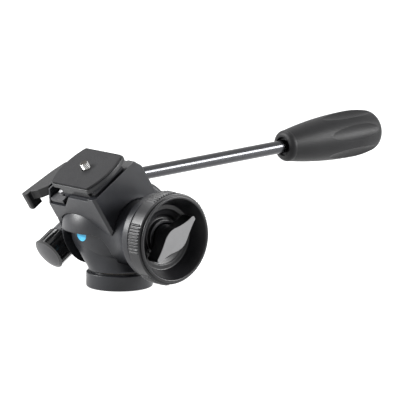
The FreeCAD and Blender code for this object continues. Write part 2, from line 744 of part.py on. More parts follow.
def stack_places():
    """Starts of the drag plates and the friction discs between them, along the tilt axis."""
    step = DISC_H + DISC_GAP
    first = WINDOW_RIGHT + WEB_THICKNESS + DISC_GAP
    plates = [first + 2 * index * step for index in range(DISC_COUNT + 1)]
    discs = [first + (2 * index + 1) * step for index in range(DISC_COUNT)]
    return plates, discs


def friction_discs():
    discs = stack_places()[1]
    return Part.Compound([tube(DISC_OUTER_R, HUB_R + SEAT_GAP, x, x + DISC_H, X_DIR) for x in discs])


def drag_plates():
    plates = stack_places()[0]
    inner = HUB_R + PLATE_INNER_GAP
    return Part.Compound([tube(BARREL_BORE_R - SEAT_GAP, inner, x, x + DISC_H, X_DIR) for x in plates])


STACK_END = stack_places()[0][-1] + DISC_H
RING_START = STACK_END + DISC_GAP
SPRING_START = max(RING_START + PRESSURE_RING_H, HUB_END) + DISC_GAP


def pressure_ring():
    inner = HUB_R + PLATE_INNER_GAP
    return tube(BARREL_BORE_R - SEAT_GAP, inner, RING_START, SPRING_START - DISC_GAP, X_DIR)


def drag_spring():
    """A dished spring washer between the pressure ring and the cup's nose."""
    inner = CUP_BORE_R + 2.0
    outer = BARREL_BORE_R - SHELL_GAP
    end = CUP_NOSE_START - DISC_GAP
    points = [(SPRING_START, outer), (SPRING_START + DRAG_SPRING_H, outer), (end, inner), (end - DRAG_SPRING_H, inner)]
    return polygon_about_x(points)


def rib_band():
    """The cup's outer band: plain arcs with pads of raised bars between them."""
    pad_deg = 360 / RIB_PADS
    core = CUP_BAND_R - 1.0
    body = cylinder(CUP_BAND_R, CUP_BAND_START, CUP_BAND_END, X_DIR)
    body = round_edges(body, 0.8, lambda e: circle_at(e, 0, CUP_BAND_START) or circle_at(e, 0, CUP_BAND_END))
    top = CUP_BAND_R + RIB_HEIGHT
    half = math.radians(RIB_PITCH_DEG * 0.28)
    bars = []
    for pad in range(RIB_PADS):
        for index in range(RIBS_PER_PAD):
            offset = (index - (RIBS_PER_PAD - 1) / 2) * RIB_PITCH_DEG
            angle = FIRST_PAD_DEG + pad * pad_deg + offset - REST_TILT_DEG
            inset = 1.6 if index in (0, RIBS_PER_PAD - 1) else 1.0
            points = [(-core * math.sin(half), core), (core * math.sin(half), core),
                      (top * math.sin(half * 0.75), top), (-top * math.sin(half * 0.75), top)]
            wire = Part.makePolygon([V(CUP_BAND_START + inset, y, z) for y, z in points + points[:1]])
            bar = Part.Face(wire).extrude(V(CUP_BAND_END - CUP_BAND_START - 2 * inset, 0, 0))
            bars.append(bar.rotate(V(0, 0, 0), X_DIR, angle - 90))
    body = body.cut(cylinder(core - 0.5, CUP_BAND_START - 1, CUP_BAND_END + 1, X_DIR))
    return body.fuse(bars).removeSplitter()


def drag_cup():
    back = BARREL_END + FACE_GAP
    nose = BARREL_BORE_R - RUN_GAP
    groove = CUP_FLOOR_X - CUP_GROOVE_DEPTH
    hub_top = CUP_FLOOR_X + CUP_HUB_RISE
    step_x = CUP_FLOOR_X + 1.6
    lip_start = CUP_BAND_END + 0.9
    points = [
        (CUP_NOSE_START, nose - CUP_NOSE_WALL), (CUP_NOSE_START, nose), (back, nose),
        (back, BARREL_R - 0.3), (CUP_BAND_START - 0.4, CUP_BAND_R - 1.6), (CUP_BAND_START + 0.4, CUP_BAND_R - 1.0),
        (CUP_BAND_END, CUP_BAND_R - 1.0), (CUP_BAND_END + 0.2, CUP_LIP_R - 0.9), (lip_start, CUP_LIP_R - 0.9),
        (lip_start + 0.1, CUP_LIP_R), (CUP_RIM_X - 0.5, CUP_LIP_R), (CUP_RIM_X, CUP_LIP_R - 0.5),
        (CUP_RIM_X, CUP_MOUTH_R + 0.3), (CUP_RIM_X - 0.3, CUP_MOUTH_R),
        (step_x, CUP_FLOOR_R), (step_x, CUP_STEP_R + 1.0), (CUP_FLOOR_X + 0.8, CUP_STEP_R),
        (CUP_FLOOR_X, CUP_GROOVE_R + 1.4), (groove, CUP_GROOVE_R), (groove, CUP_HUB_R),
        (hub_top, CUP_HUB_R - 0.6), (hub_top, CUP_BORE_R), (CUP_NOSE_START + 2, CUP_BORE_R),
        (CUP_NOSE_START + 2, nose - CUP_NOSE_WALL),
    ]
    return polygon_about_x(points).fuse(rib_band()).removeSplitter()


def wing_key():
    """The lozenge blade on a round hub, drawn with its length along Y and turned to its angle."""
    tip = KEY_LENGTH / 2
    end_r = KEY_TIP_WIDTH / 2
    mid = KEY_WIDTH / 2
    blade_back = KEY_FACE_X - KEY_BLADE_DEPTH
    corner_y = 4.6
    hollow_y = 14.5
    hollow_w = 4.6

    def at(y, z):
        return V(blade_back, y, z)

    edges = []
    for turn in (1, -1):
        edges.append(Part.Arc(at(-turn * (tip - end_r), turn * end_r), at(-turn * hollow_y, turn * hollow_w * 0.93),
                              at(-turn * corner_y * 1.7, turn * mid * 0.83)).toShape())
        edges.append(Part.Arc(at(-turn * corner_y * 1.7, turn * mid * 0.83), at(-turn * corner_y * 0.2, turn * mid),
                              at(turn * corner_y, turn * mid * 0.86)).toShape())
        edges.append(Part.Arc(at(turn * corner_y, turn * mid * 0.86), at(turn * hollow_y, turn * hollow_w * 0.72),
                              at(turn * (tip - end_r), turn * end_r)).toShape())
        edges.append(Part.Arc(at(turn * (tip - end_r), turn * end_r), at(turn * tip, 0),
                              at(turn * (tip - end_r), -turn * end_r)).toShape())
    blade = Part.Face(Part.Wire(edges)).extrude(V(KEY_BLADE_DEPTH, 0, 0))
    root = polygon_about_x([(KEY_HUB_START, 0), (KEY_HUB_START, KEY_HUB_R), (CUP_FLOOR_X + 2.5, KEY_HUB_R),
                            (KEY_FACE_X - 2.0, KEY_WIDTH * 0.36), (KEY_FACE_X - 2.0, 0)])
    body = blade.fuse(root).removeSplitter()
    body = body.rotate(V(0, 0, 0), X_DIR, KEY_ANGLE_DEG - REST_TILT_DEG)
    return body.cut(cylinder(KEY_INSERT_R + SEAT_GAP, KEY_HUB_START - 1, AXLE_END + 1.5, X_DIR))


def key_insert():
    return tube(KEY_INSERT_R, AXLE_R + SEAT_GAP, KEY_HUB_START, AXLE_END + 1.0, X_DIR)


def side_knob():
    rear = EAR_END + FACE_GAP
    face = rear + SIDE_KNOB_LENGTH
    bar = fluted_bar(SIDE_KNOB_R, FLUTE_DEPTH, SIDE_KNOB_FLUTES, rear + 1.2, face - 1.2)
    collar = polygon_about_x([(rear, 0), (rear, SIDE_KNOB_R - 1.6), (rear + 1.2, SIDE_KNOB_R - 0.6),
                              (face - 1.2, SIDE_KNOB_R - 0.6), (face, SIDE_KNOB_R - 1.6), (face, 0)])
    rise = SIDE_KNOB_DOME
    cap_r = SIDE_KNOB_R - 2.2
    ball = (cap_r ** 2 + rise ** 2) / (2 * rise)
    dome = Part.makeSphere(ball, V(face + rise - ball, 0, 0)).common(box((face - 1, -REACH, -REACH), (REACH, REACH, REACH)))
    body = fuse_all([bar, collar, dome])
    body = body.cut(cylinder(HINGE_BOLT_R + SEAT_GAP, 0, face - KNOB_CROWN, X_DIR))
    return along(body, Y_DIR * -1, V(HINGE_X, 0, HINGE_Z))


def hinge_bolt():
    """The side tilt pivot: a shoulder bolt from behind, screwed into the knob in front."""
    head_start = EAR_END + HINGE_WASHER_H
    head_end = head_start + BOLT_HEAD_H
    shaft = hinge_cylinder(HINGE_BOLT_R, -(EAR_END + FACE_GAP + SIDE_KNOB_LENGTH - KNOB_CROWN - SEAT_GAP), head_start)
    head = hinge_cylinder(BOLT_HEAD_R, head_start, head_end)
    socket = hinge_cylinder(BOLT_SOCKET_R, head_end - BOLT_SOCKET_DEPTH, REACH)
    return shaft.fuse(head).removeSplitter().cut(socket)


def hinge_washer():
    washer = hinge_cylinder(HINGE_WASHER_R, EAR_END + DISC_GAP, EAR_END + HINGE_WASHER_H)
    return washer.cut(hinge_cylinder(HINGE_BOLT_R + SEAT_GAP, 0, REACH))


def hinge_bushes():
    bushes = []
    for low, high in ear_spans():
        outer = hinge_cylinder(HINGE_BUSH_R, low, high)
        bushes.append(outer.cut(hinge_cylinder(HINGE_BOLT_R + RUN_GAP, -REACH, REACH)))
    return Part.Compound(bushes)


def block_side():
    """The block's outline seen from the cup's side."""
    return [(BLOCK_FRONT, BLOCK_BOTTOM), (BLOCK_BACK, BLOCK_BOTTOM), (BLOCK_BACK, BACK_CHAMFER_Z),
            (BACK_CHAMFER_Y, BLOCK_TOP), (BLOCK_FRONT, BLOCK_TOP)]


def ear_webs():
    """The parts of the ears that rise from the hinge to the block's left wall."""
    outline = [(EAR_WEB_LEFT, HINGE_Z), (EAR_WEB_LEFT, HINGE_Z + HINGE_R), (BLOCK_LEFT, BLOCK_LEFT_BOTTOM),
               (BLOCK_LEFT, HOLLOW_TOP), (EAR_WEB_RIGHT, HOLLOW_TOP), (EAR_WEB_RIGHT, HINGE_Z)]
    return [prism_y(outline, -EAR_WEB_END, -EAR_START), prism_y(outline, EAR_START, EAR_WEB_END)]


def left_fin():
    """The thin wall that closes the recess on the left, with its front edge leaning back."""
    return prism_x([(BLOCK_FRONT, RECESS_FLOOR), (FIN_LEAN_Y, FIN_TOP), (FIN_BACK, FIN_TOP), (FIN_BACK, RECESS_FLOOR)],
                   BLOCK_LEFT, RECESS_LEFT)


def front_recess():
    return prism_y([(-REACH, RECESS_FLOOR), (LEDGE_RIGHT, RECESS_FLOOR), (RECESS_SLOPE_X, RECESS_SLOPE_Z),
                    (RECESS_SLOPE_X, BLOCK_TOP + 1), (-REACH, BLOCK_TOP + 1)], BLOCK_FRONT - 1, RECESS_BACK)


def platform_hollow():
    """The casting's hollow underside, inside its front, back, left and right walls."""
    wall = PLATFORM_WALL
    return box((BLOCK_LEFT + wall, BLOCK_FRONT + wall, 0), (BLOCK_RIGHT - wall, BLOCK_BACK - wall, HOLLOW_TOP))


def platform():
    block = prism_x(block_side(), BLOCK_LEFT, BLOCK_RIGHT)
    ridge = [(BLOCK_RIGHT - FRONT_RIDGE, BLOCK_FRONT), (BLOCK_RIGHT - FRONT_RIDGE, BLOCK_FRONT - 1),
             (BLOCK_RIGHT + 1, BLOCK_FRONT - 1), (BLOCK_RIGHT + 1, BLOCK_FRONT + FRONT_RIDGE),
             (BLOCK_RIGHT, BLOCK_FRONT + FRONT_RIDGE)]
    block = block.cut(prism_z(ridge, -REACH, REACH))
    block = block.cut(box((-REACH, -REACH, -REACH), (SHELL_X, REACH, BLOCK_LEFT_BOTTOM)))
    block = block.cut(front_recess())
    block = block.cut(box((-REACH, RECESS_BACK, LEDGE_TOP), (SEAT_LEFT, REACH, REACH)))
    block = block.cut(platform_hollow()).cut(yoke_envelope(SHELL_GAP))
    back_wall = BLOCK_BACK - PLATFORM_WALL
    block = block.cut(box((-REACH, back_wall, -REACH), (BLOCK_RIGHT - PLATFORM_WALL, REACH, BACK_WALL_BOTTOM)))
    ears = [hinge_cylinder(HINGE_R, low, high) for low, high in ear_spans()]
    body = fuse_all([block, left_fin()] + ear_webs() + ears)
    body = body.cut(cylinder(CAM_CLEAR_R, LEDGE_TOP, REACH, centre=V(CAM_X, CAM_Y, 0)))
    body = body.cut(box((-DOVETAIL_BOTTOM_HALF - FACE_GAP, -REACH, SEAT_FLOOR),
                        (DOVETAIL_BOTTOM_HALF + FACE_GAP, REACH, REACH)))
    body = fuse_all([body] + seat_rails())
    body = body.cut(hinge_cylinder(HINGE_BUSH_R + SEAT_GAP, -REACH, REACH))
    body = body.cut(cylinder(PIVOT_R + SEAT_GAP, PIVOT_BOTTOM, LEDGE_TOP + 1, centre=V(CAM_X, CAM_Y, 0)))
    for place in seat_screw_places():
        body = body.cut(cylinder(SEAT_SCREW_R + SEAT_GAP, SEAT_FLOOR - SEAT_SCREW_LENGTH, SEAT_FLOOR + 1, centre=place))
    return body.cut(slider_screw_hole())


def seat_rails():
    """Bevelled rails beside the dovetail: a long one on the right, a short one on the left."""
    inner_top = DOVETAIL_TOP_HALF + FACE_GAP
    inner_low = DOVETAIL_BOTTOM_HALF + FACE_GAP
    rail = [(inner_low, SEAT_FLOOR), (inner_low, DOVETAIL_BOTTOM), (inner_top, RAIL_TOP),
            (inner_top + RAIL_WIDTH, RAIL_TOP), (inner_low + RAIL_WIDTH, BLOCK_TOP), (inner_low + RAIL_WIDTH, SEAT_FLOOR)]
    right = prism_y(rail, -RAIL_HALF_Y, RAIL_HALF_Y)
    left = prism_y([(-x, z) for x, z in rail], -RAIL_HALF_Y, CAM_Y - CAM_CLEAR_R)
    left = left.common(box((SEAT_LEFT, -REACH, -REACH), (0, REACH, REACH)))
    return [right, left]


def seat_screw_places():
    return [V(x, y, 0) for x in (-SEAT_SCREW_X, SEAT_SCREW_X) for y in (-SEAT_SCREW_Y, SEAT_SCREW_Y)]


def seat_liner():
    """A thin wear plate screwed to the floor of the dovetail seat."""
    plate = box((-LINER_HALF_X, -LINER_HALF_Y, SEAT_FLOOR), (LINER_HALF_X, LINER_HALF_Y, LINER_TOP))
    for place in seat_screw_places():
        plate = plate.cut(cylinder(SEAT_SCREW_HEAD_R + FACE_GAP, SEAT_FLOOR - 1, LINER_TOP + 1, centre=place))
    return plate


def seat_screws():
    """Four flat head screws, let into the liner."""
    screws = []
    for place in seat_screw_places():
        shaft = cylinder(SEAT_SCREW_R, SEAT_FLOOR - SEAT_SCREW_LENGTH + SEAT_GAP, SEAT_FLOOR, centre=place)
        head = cylinder(SEAT_SCREW_HEAD_R, SEAT_FLOOR, LINER_TOP - SEAT_GAP, centre=place)
        screws.append(shaft.fuse(head).removeSplitter())
    return Part.Compound(screws)


def plate_outline(inset, height):
    """The plate's outline: flat front and back, bulged sides and rounded corners."""
    half_y = PLATE_HALF_Y - inset
    flat = PLATE_FLAT_HALF_X - inset * 0.6
    bulge = PLATE_BULGE_X - inset
    edges = [
        Part.LineSegment(V(-flat, -half_y, height), V(flat, -half_y, height)).toShape(),
        Part.Arc(V(flat, -half_y, height), V(bulge, 0, height), V(flat, half_y, height)).toShape(),
        Part.LineSegment(V(flat, half_y, height), V(-flat, half_y, height)).toShape(),
        Part.Arc(V(-flat, half_y, height), V(-bulge, 0, height), V(-flat, -half_y, height)).toShape(),
    ]
    return Part.Face(Part.Wire(edges))


def upright(edge):
    ends = edge.Vertexes
    return len(ends) == 2 and (ends[1].Point - ends[0].Point).cross(Z_DIR).Length < 0.01


def camera_plate():
    flange = plate_outline(0, FLANGE_BOTTOM).extrude(V(0, 0, FLANGE_TOP - FLANGE_BOTTOM))
    flange = round_edges(flange, PLATE_CORNER_R, upright)
    flange = round_edges(flange, 0.6, lambda e: abs(e.BoundBox.ZMin - FLANGE_TOP) < 0.01
                         or abs(e.BoundBox.ZMax - FLANGE_BOTTOM) < 0.01)
    bed = round_edges(plate_outline(PAD_INSET, FLANGE_TOP - 0.6).extrude(V(0, 0, 2)), PLATE_CORNER_R - 1, upright)
    flange = flange.cut(bed)
    low = DOVETAIL_BOTTOM_HALF
    high = DOVETAIL_TOP_HALF
    bottom = DOVETAIL_BOTTOM + SEAT_GAP
    tail = prism_y([(-low, bottom), (low, bottom), (high, RAIL_TOP), (high, FLANGE_BOTTOM + 0.1),
                    (-high, FLANGE_BOTTOM + 0.1), (-high, RAIL_TOP)], -DOVETAIL_HALF_Y, DOVETAIL_HALF_Y)
    body = flange.fuse(tail).removeSplitter()
    body = body.cut(cylinder(CAMERA_SCREW_HEAD_R + 1.0, 0, SCREW_HEAD_TOP + DISC_GAP))
    return body.cut(cylinder(CAMERA_SCREW_R + RUN_GAP, 0, REACH))


def plate_pad():
    low = FLANGE_TOP - 0.6 + SEAT_GAP
    pad = plate_outline(PAD_INSET + SEAT_GAP, low).extrude(V(0, 0, PAD_TOP - low))
    pad = round_edges(pad, PLATE_CORNER_R - 1, upright)
    pad = round_edges(pad, 0.4, lambda e: abs(e.BoundBox.ZMin - PAD_TOP) < 0.01)
    return pad.cut(cylinder(CAMERA_SCREW_R + 0.6, 0, REACH))


def camera_screw():
    head_low = SCREW_HEAD_TOP - CAMERA_SCREW_HEAD_H
    head = cylinder(CAMERA_SCREW_HEAD_R, head_low, SCREW_HEAD_TOP)
    head = head.cut(box((-REACH, -0.8, 0), (REACH, 0.8, head_low + 1.2)))
    end = PAD_TOP + CAMERA_SCREW_RISE
    neck = cylinder(CAMERA_SCREW_NECK_R, SCREW_HEAD_TOP, PAD_TOP)
    thread = cylinder(CAMERA_SCREW_R, PAD_TOP, end)
    thread = thread.makeChamfer(CAMERA_SCREW_CHAMFER, [e for e in thread.Edges if circle_at(e, 2, end)])
    return fuse_all([head, neck, thread])


def lever_outline():
    """The lever seen from above, from its cam out to the finger tab and back."""
    tab = [(TAB_RIGHT, TAB_FRONT + TAB_REACH), (TAB_RIGHT, TAB_FRONT), (TAB_LEFT, TAB_FRONT)]
    return [(CAM_X, CAM_Y)] + list(LEVER_INSIDE) + tab + list(LEVER_OUTSIDE)


def qr_lever():
    centre = V(CAM_X, CAM_Y, 0)
    arm = prism_z(lever_outline(), LEVER_BOTTOM, LEVER_TOP)
    cam = cylinder(CAM_R, LEVER_BOTTOM, LEVER_TOP, centre=centre + X_DIR * CAM_THROW)
    tab = prism_z([(TAB_RIGHT, TAB_BACK), (TAB_RIGHT, TAB_FRONT), (TAB_LEFT, TAB_FRONT), (TAB_LEFT + 2.2, TAB_BACK)],
                  LEVER_TAB_BOTTOM, LEVER_TOP)
    body = fuse_all([arm, cam, tab])
    body = round_edges(body, 1.8, lambda e: upright(e) and e.BoundBox.YMax < TAB_FRONT + 0.01)
    body = body.cut(cylinder(PIVOT_R + RUN_GAP, 0, REACH, centre=centre))
    return body.cut(cylinder(PIVOT_HEAD_R + FACE_GAP, LEVER_TOP - PIVOT_HEAD_H, REACH, centre=centre))


def lever_pivot():
    centre = V(CAM_X, CAM_Y, 0)
    head_low = LEVER_TOP - PIVOT_HEAD_H + DISC_GAP
    pin = cylinder(PIVOT_R, PIVOT_BOTTOM + SEAT_GAP, head_low, centre=centre)
    head = cylinder(PIVOT_HEAD_R, head_low, head_low + PIVOT_HEAD_H, centre=centre)
    reach = PIVOT_HEAD_R * 0.7
    slot = box((CAM_X - reach, CAM_Y - 0.4, head_low + PIVOT_HEAD_H - 0.6), (CAM_X + reach, CAM_Y + 0.4, REACH))
    return pin.fuse(head).removeSplitter().cut(slot)


def slider_screw_hole():
    centre = V(SLIDER_SCREW_X, SLIDER_SCREW_Y, 0)
    return cylinder(SLIDER_SCREW_R + SEAT_GAP, LEDGE_TOP - SLIDER_SCREW_LENGTH, LEDGE_TOP + 1, centre=centre)


def safety_slider():
    """The small catch that blocks the lever; its front edge shows in the recess."""
    low = LEDGE_TOP + DISC_GAP
    plate = box((SLIDER_LEFT, SLIDER_FRONT, low), (SLIDER_PLATE_RIGHT, SLIDER_BACK, SLIDER_TOP))
    bar = box((SLIDER_LEFT, SLIDER_FRONT, SLIDER_BOTTOM), (SLIDER_RIGHT, RECESS_BACK - FACE_GAP, SLIDER_TOP))
    body = fuse_all([plate, bar])
    slot_r = SLIDER_SCREW_R + RUN_GAP
    right = SLIDER_SCREW_X
    left = right - SLIDER_TRAVEL
    slot = fuse_all([cylinder(slot_r, 0, REACH, centre=V(left, SLIDER_SCREW_Y, 0)),
                     cylinder(slot_r, 0, REACH, centre=V(right, SLIDER_SCREW_Y, 0)),
                     box((left, SLIDER_SCREW_Y - slot_r, 0), (right, SLIDER_SCREW_Y + slot_r, REACH))])
    return body.cut(slot)


def slider_screw():
    top = SLIDER_TOP + DISC_GAP
    centre = V(SLIDER_SCREW_X, SLIDER_SCREW_Y, 0)
    shaft = cylinder(SLIDER_SCREW_R, LEDGE_TOP - SLIDER_SCREW_LENGTH + SEAT_GAP, top, centre=centre)
    head = cylinder(SLIDER_SCREW_HEAD_R, top, top + SLIDER_SCREW_HEAD_H, centre=centre)
    return shaft.fuse(head).removeSplitter()


def handle_rod():
    body = rod_cylinder(ROD_R, 0, GRIP_START + GRIP_SOCKET)
    body = body.cut(rod_cylinder(ROD_R - ROD_WALL, 6, REACH * 2))
    return body.fuse(rod_cylinder(ROD_SPIGOT_R, -ROD_SPIGOT_LENGTH + SEAT_GAP, 0)).removeSplitter()


def grip_half(inset=0.0):
    """The grip's outline as edges from the axis at its narrow end to the axis at its fat end."""
    neck = GRIP_NECK_R - inset
    belly = GRIP_BELLY_R - inset
    end = GRIP_END_R - inset
    start = inset
    finish = GRIP_LENGTH - inset
    shoulder = 4.5
    dome = finish - GRIP_DOME
    return [
        line((start, 0), (start, neck - 3.4)),
        arc((start, neck - 3.4), (start + 1.2, neck - 1.0), (start + shoulder, neck)),
        arc((start + shoulder, neck), (GRIP_LENGTH * 0.36, (neck + belly) / 2 + 1.35), (GRIP_LENGTH * 0.68, belly)),
        arc((GRIP_LENGTH * 0.68, belly), (GRIP_LENGTH * 0.8, belly - 0.3), (dome, end)),
        arc((dome, end), (finish - 2.4, end - 3.6), (finish, end - GRIP_DOME)),
        line((finish, end - GRIP_DOME), (finish, 0)),
        line((finish, 0), (start, 0)),
    ]


def grip_flutes():
    """Long hollows that start in a point, deepen, and fade before the domed end."""
    start = GRIP_LENGTH * FLUTE_START
    middle = GRIP_LENGTH * FLUTE_MIDDLE
    end = GRIP_LENGTH - GRIP_DOME + 2.0
    away = GRIP_BELLY_R + GRIP_FLUTE_R - GRIP_FLUTE_DEPTH
    outline = [line((start, 0), (start, away - GRIP_BELLY_R + 1.3)),
               arc((start, away - GRIP_BELLY_R + 1.3), (middle, GRIP_FLUTE_R), (end, away - GRIP_END_R)),
               line((end, away - GRIP_END_R), (end, 0)), line((end, 0), (start, 0))]
    cutters = []
    for index in range(GRIP_FLUTES):
        bar = revolve_about_x(outline)
        bar.translate(V(0, away, 0))
        cutters.append(bar.rotate(V(0, 0, 0), X_DIR, (index + 0.25) * 360 / GRIP_FLUTES))
    return cutters


def handle_grip():
    body = revolve_about_x(grip_half())
    body = body.cut(grip_flutes())
    core_end = GRIP_LENGTH - GRIP_WALL * 1.6
    hollow = polygon_about_x([(GRIP_SOCKET + 4, 0), (GRIP_SOCKET + 4, GRIP_BELLY_R - GRIP_WALL - 3.0),
                              (core_end - 8, GRIP_END_R - GRIP_WALL - 3.2), (core_end, GRIP_END_R - GRIP_WALL - 7),
                              (core_end, 0)])
    jacket = polygon_about_x([(14, ROD_R + 2.4), (14, GRIP_NECK_R - GRIP_WALL + 0.6), (36, GRIP_NECK_R - 0.6),
                              (GRIP_SOCKET, GRIP_BELLY_R - GRIP_WALL - 3.0), (GRIP_SOCKET, ROD_R + 2.4)])
    body = body.cut(hollow).cut(jacket)
    body = body.cut(cylinder(GRIP_MOUTH_R, -1, GRIP_MOUTH_DEPTH, X_DIR))
    body = body.cut(cylinder(ROD_R + SEAT_GAP, -1, GRIP_SOCKET + SEAT_GAP, X_DIR))
    return along(body, rod_direction(), V(0, ROD_Y, ROD_Z) + rod_direction() * GRIP_START)


def fixed_nodes():
    return {
        "base_disc": base_disc(),
        "tripod_socket": tripod_socket(),
        "base_screws": base_screws(),
        "pan_spindle": pan_spindle(),
        "pan_washer": pan_washer(),
        "pan_spring_washer": pan_spring_washer(),
        "pan_nut": pan_nut(),
        "pan_housing": pan_housing(),
        "pan_bush": pan_bush(),
        "blue_marker": blue_marker(),
        "brake_shoe": brake_shoe(),
        "pan_lock_knob": pan_lock_knob(),
        "pan_lock_screw": pan_lock_screw(),
    }


def level_nodes():
    return {
        "tilt_hub": tilt_hub(),
        "axle_bushes": axle_bushes(),
        "friction_discs": friction_discs(),
        "tilt_yoke": tilt_yoke(),
        "tilt_axle": tilt_axle(),
        "web_bush": web_bush(),
        "drag_plates": drag_plates(),
        "pressure_ring": pressure_ring(),
        "drag_spring": drag_spring(),
        "drag_cup": drag_cup(),
        "wing_key": wing_key(),
        "key_insert": key_insert(),
        "side_knob": side_knob(),
        "hinge_bolt": hinge_bolt(),
        "hinge_washer": hinge_washer(),
        "hinge_bushes": hinge_bushes(),
        "platform": platform(),
        "seat_liner": seat_liner(),
        "seat_screws": seat_screws(),
        "camera_plate": camera_plate(),
        "plate_pad": plate_pad(),
        "camera_screw": camera_screw(),
        "qr_lever": qr_lever(),
        "lever_pivot": lever_pivot(),
        "safety_slider": safety_slider(),
        "slider_screw": slider_screw(),
        "handle_rod": handle_rod(),
        "handle_grip": handle_grip(),
    }


def main():
    os.makedirs("parts", exist_ok=True)
    nodes = fixed_nodes()
    for name, shape in level_nodes().items():
        nodes[name] = tilted(shape)
    for name, shape in nodes.items():
        shape.exportStep("parts/" + name + ".step")
        state = "ok" if shape.isValid() else "NOT VALID"
        print(name, len(shape.Solids), "solids", round(shape.Volume), "mm3", state)


main()
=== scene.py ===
import math

import bmesh
import bpy
from mathutils import Matrix, Vector


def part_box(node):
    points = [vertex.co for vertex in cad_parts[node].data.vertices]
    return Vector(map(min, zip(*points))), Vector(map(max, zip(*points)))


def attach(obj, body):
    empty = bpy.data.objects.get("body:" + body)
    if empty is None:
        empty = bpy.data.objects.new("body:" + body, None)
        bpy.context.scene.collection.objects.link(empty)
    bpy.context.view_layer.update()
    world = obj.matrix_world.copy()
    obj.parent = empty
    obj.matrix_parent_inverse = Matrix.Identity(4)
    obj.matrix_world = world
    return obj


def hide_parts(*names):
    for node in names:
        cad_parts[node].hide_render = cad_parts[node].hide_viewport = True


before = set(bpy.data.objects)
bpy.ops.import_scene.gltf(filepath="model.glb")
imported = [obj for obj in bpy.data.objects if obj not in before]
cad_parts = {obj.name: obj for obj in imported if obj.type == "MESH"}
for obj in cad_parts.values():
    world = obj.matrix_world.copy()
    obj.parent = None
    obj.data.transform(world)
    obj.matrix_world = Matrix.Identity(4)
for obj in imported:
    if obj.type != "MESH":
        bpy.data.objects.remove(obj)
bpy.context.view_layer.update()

MM = 0.001

# Camera at the photograph's angle, far off with a long lens
CAMERA_AT = Vector((2.255, -1.885, 0.5975))
CAMERA_AIM = Vector((0.0291, 0.0547, 0.0624))
LENS_MM = 360.0
SENSOR_MM = 36.0

# What tilts is drawn level in the source and turned by this about the tilt axis
REST_TILT_DEG = 33.0
TILT_AXIS_Z = 44.2 * MM
LEVEL = Matrix.Translation((0, 0, TILT_AXIS_Z)) @ Matrix.Rotation(math.radians(REST_TILT_DEG), 4, "X")
UPRIGHT = Matrix.Identity(4)

# Camera screw, level and about the plate's middle
STUD_R = 3.175 * MM
STUD_PITCH = 1.27 * MM
STUD_THREAD_DEPTH = 0.62 * MM
PAD_TOP = 58.0 * MM
STUD_TOP = 63.0 * MM
STUD_LEAD = 0.7 * MM
STUD_HEAD_R = 7.0 * MM
STUD_HEAD_LOW = 47.4 * MM
STUD_HEAD_TOP = 49.8 * MM
STUD_NECK_R = 2.6 * MM
STUD_CHAMFER = 0.4 * MM
STUD_TOP_CHAMFER = 0.3 * MM
STUD_CAP_R = 1.575 * MM
STUD_SIDES = 64
STUD_RINGS = 60
THREAD_STEEPNESS = 1.35
THREAD_ROOT = 0.1
LEAD_DROP = 0.55 * MM
THREAD_CREST = 0.12 * MM

# Flat faces painted paler than their gloss black moulding as a painted reflection: the side knob's, level,
# and how far the change goes
KNOB_FACE_Y = -41.3 * MM
KNOB_STEP = (-0.3 * MM, 0.1 * MM)
WING_STEP = (-0.55 * MM, -0.40 * MM)

# Noise scales of paint: cloudy tone, patches of gloss, and the tone and grain of a faced moulding
CLOUDS = 55
GLOSS_PATCHES = 190
FACED_CLOUDS = 140
FACED_GRAIN = 2600

# Drawn lines run round turned metal, and along the rod
TURNED_LINES = (1, 1, 0.1)
ROD_LINES = (1.0, 0.02, 0.02)
ROD_TURN = (math.radians(-2.0), 0, math.radians(90))

# Finishes, as linear colours
BLACK_CAST = (0.0175, 0.0185, 0.022)
PLATFORM_BLACK = (0.023, 0.024, 0.028)
CUP_BLACK = (0.011, 0.011, 0.0125)
LEVER_BLACK = (0.0075, 0.0075, 0.0085)
GLOSS_BLACK = (0.006, 0.006, 0.007)
# The side knob's and the wing key's face greys are painted reflection: paler satin grey laid on gloss black
# faces
KNOB_FACE_SHEEN_GREY = (0.052, 0.052, 0.056)
WING_FACE_SHEEN_GREY = (0.240, 0.240, 0.245)
PLATE_BLACK = (0.016, 0.0165, 0.018)
PAD_GREY = (0.024, 0.024, 0.0255)
PAD_DARK = (0.018, 0.018, 0.0195)
GRIP_BLACK = (0.010, 0.010, 0.011)
ROD_DARK = (0.075, 0.076, 0.081)
SLIDER_GREY = (0.035, 0.035, 0.038)
MARKER_BLUE = (0.10, 0.62, 1.0)
STEEL = (0.62, 0.62, 0.63)
BRIGHT_STEEL = (0.80, 0.80, 0.79)
BRONZE = (0.42, 0.28, 0.13)
SLIP_TAN = (0.35, 0.30, 0.22)

# Specular level of satin paint and of rubber
SATIN_LEVEL = 0.38
RUBBER_LEVEL = 0.25

# The finish of each node of the CAD
NODE_FINISH = {
    "base_disc": "black_casting", "tripod_socket": "steel", "base_screws": "steel",
    "pan_spindle": "steel", "pan_washer": "slip_ring", "pan_spring_washer": "spring_steel",
    "pan_nut": "steel", "pan_housing": "black_casting", "pan_bush": "bronze",
    "blue_marker": "blue_marker", "brake_shoe": "bronze", "pan_lock_knob": "cup_plastic",
    "pan_lock_screw": "steel", "tilt_hub": "bare_alloy", "axle_bushes": "bronze",
    "friction_discs": "slip_ring", "tilt_yoke": "black_casting", "tilt_axle": "steel",
    "web_bush": "bronze", "drag_plates": "steel", "pressure_ring": "bare_alloy",
    "drag_spring": "spring_steel", "drag_cup": "cup_plastic", "wing_key": "grey_plastic",
    "key_insert": "bronze", "side_knob": "gloss_knob", "hinge_bolt": "steel", "hinge_washer": "steel",
    "hinge_bushes": "bronze", "platform": "platform_casting", "seat_liner": "steel",
    "seat_screws": "steel", "camera_plate": "plate_alloy", "plate_pad": "pad_rubber",
    "camera_screw": "bright_steel", "qr_lever": "lever_plastic", "lever_pivot": "steel",
    "safety_slider": "grey_metal", "slider_screw": "steel", "handle_rod": "rod_alloy",
    "handle_grip": "grip_rubber",
}


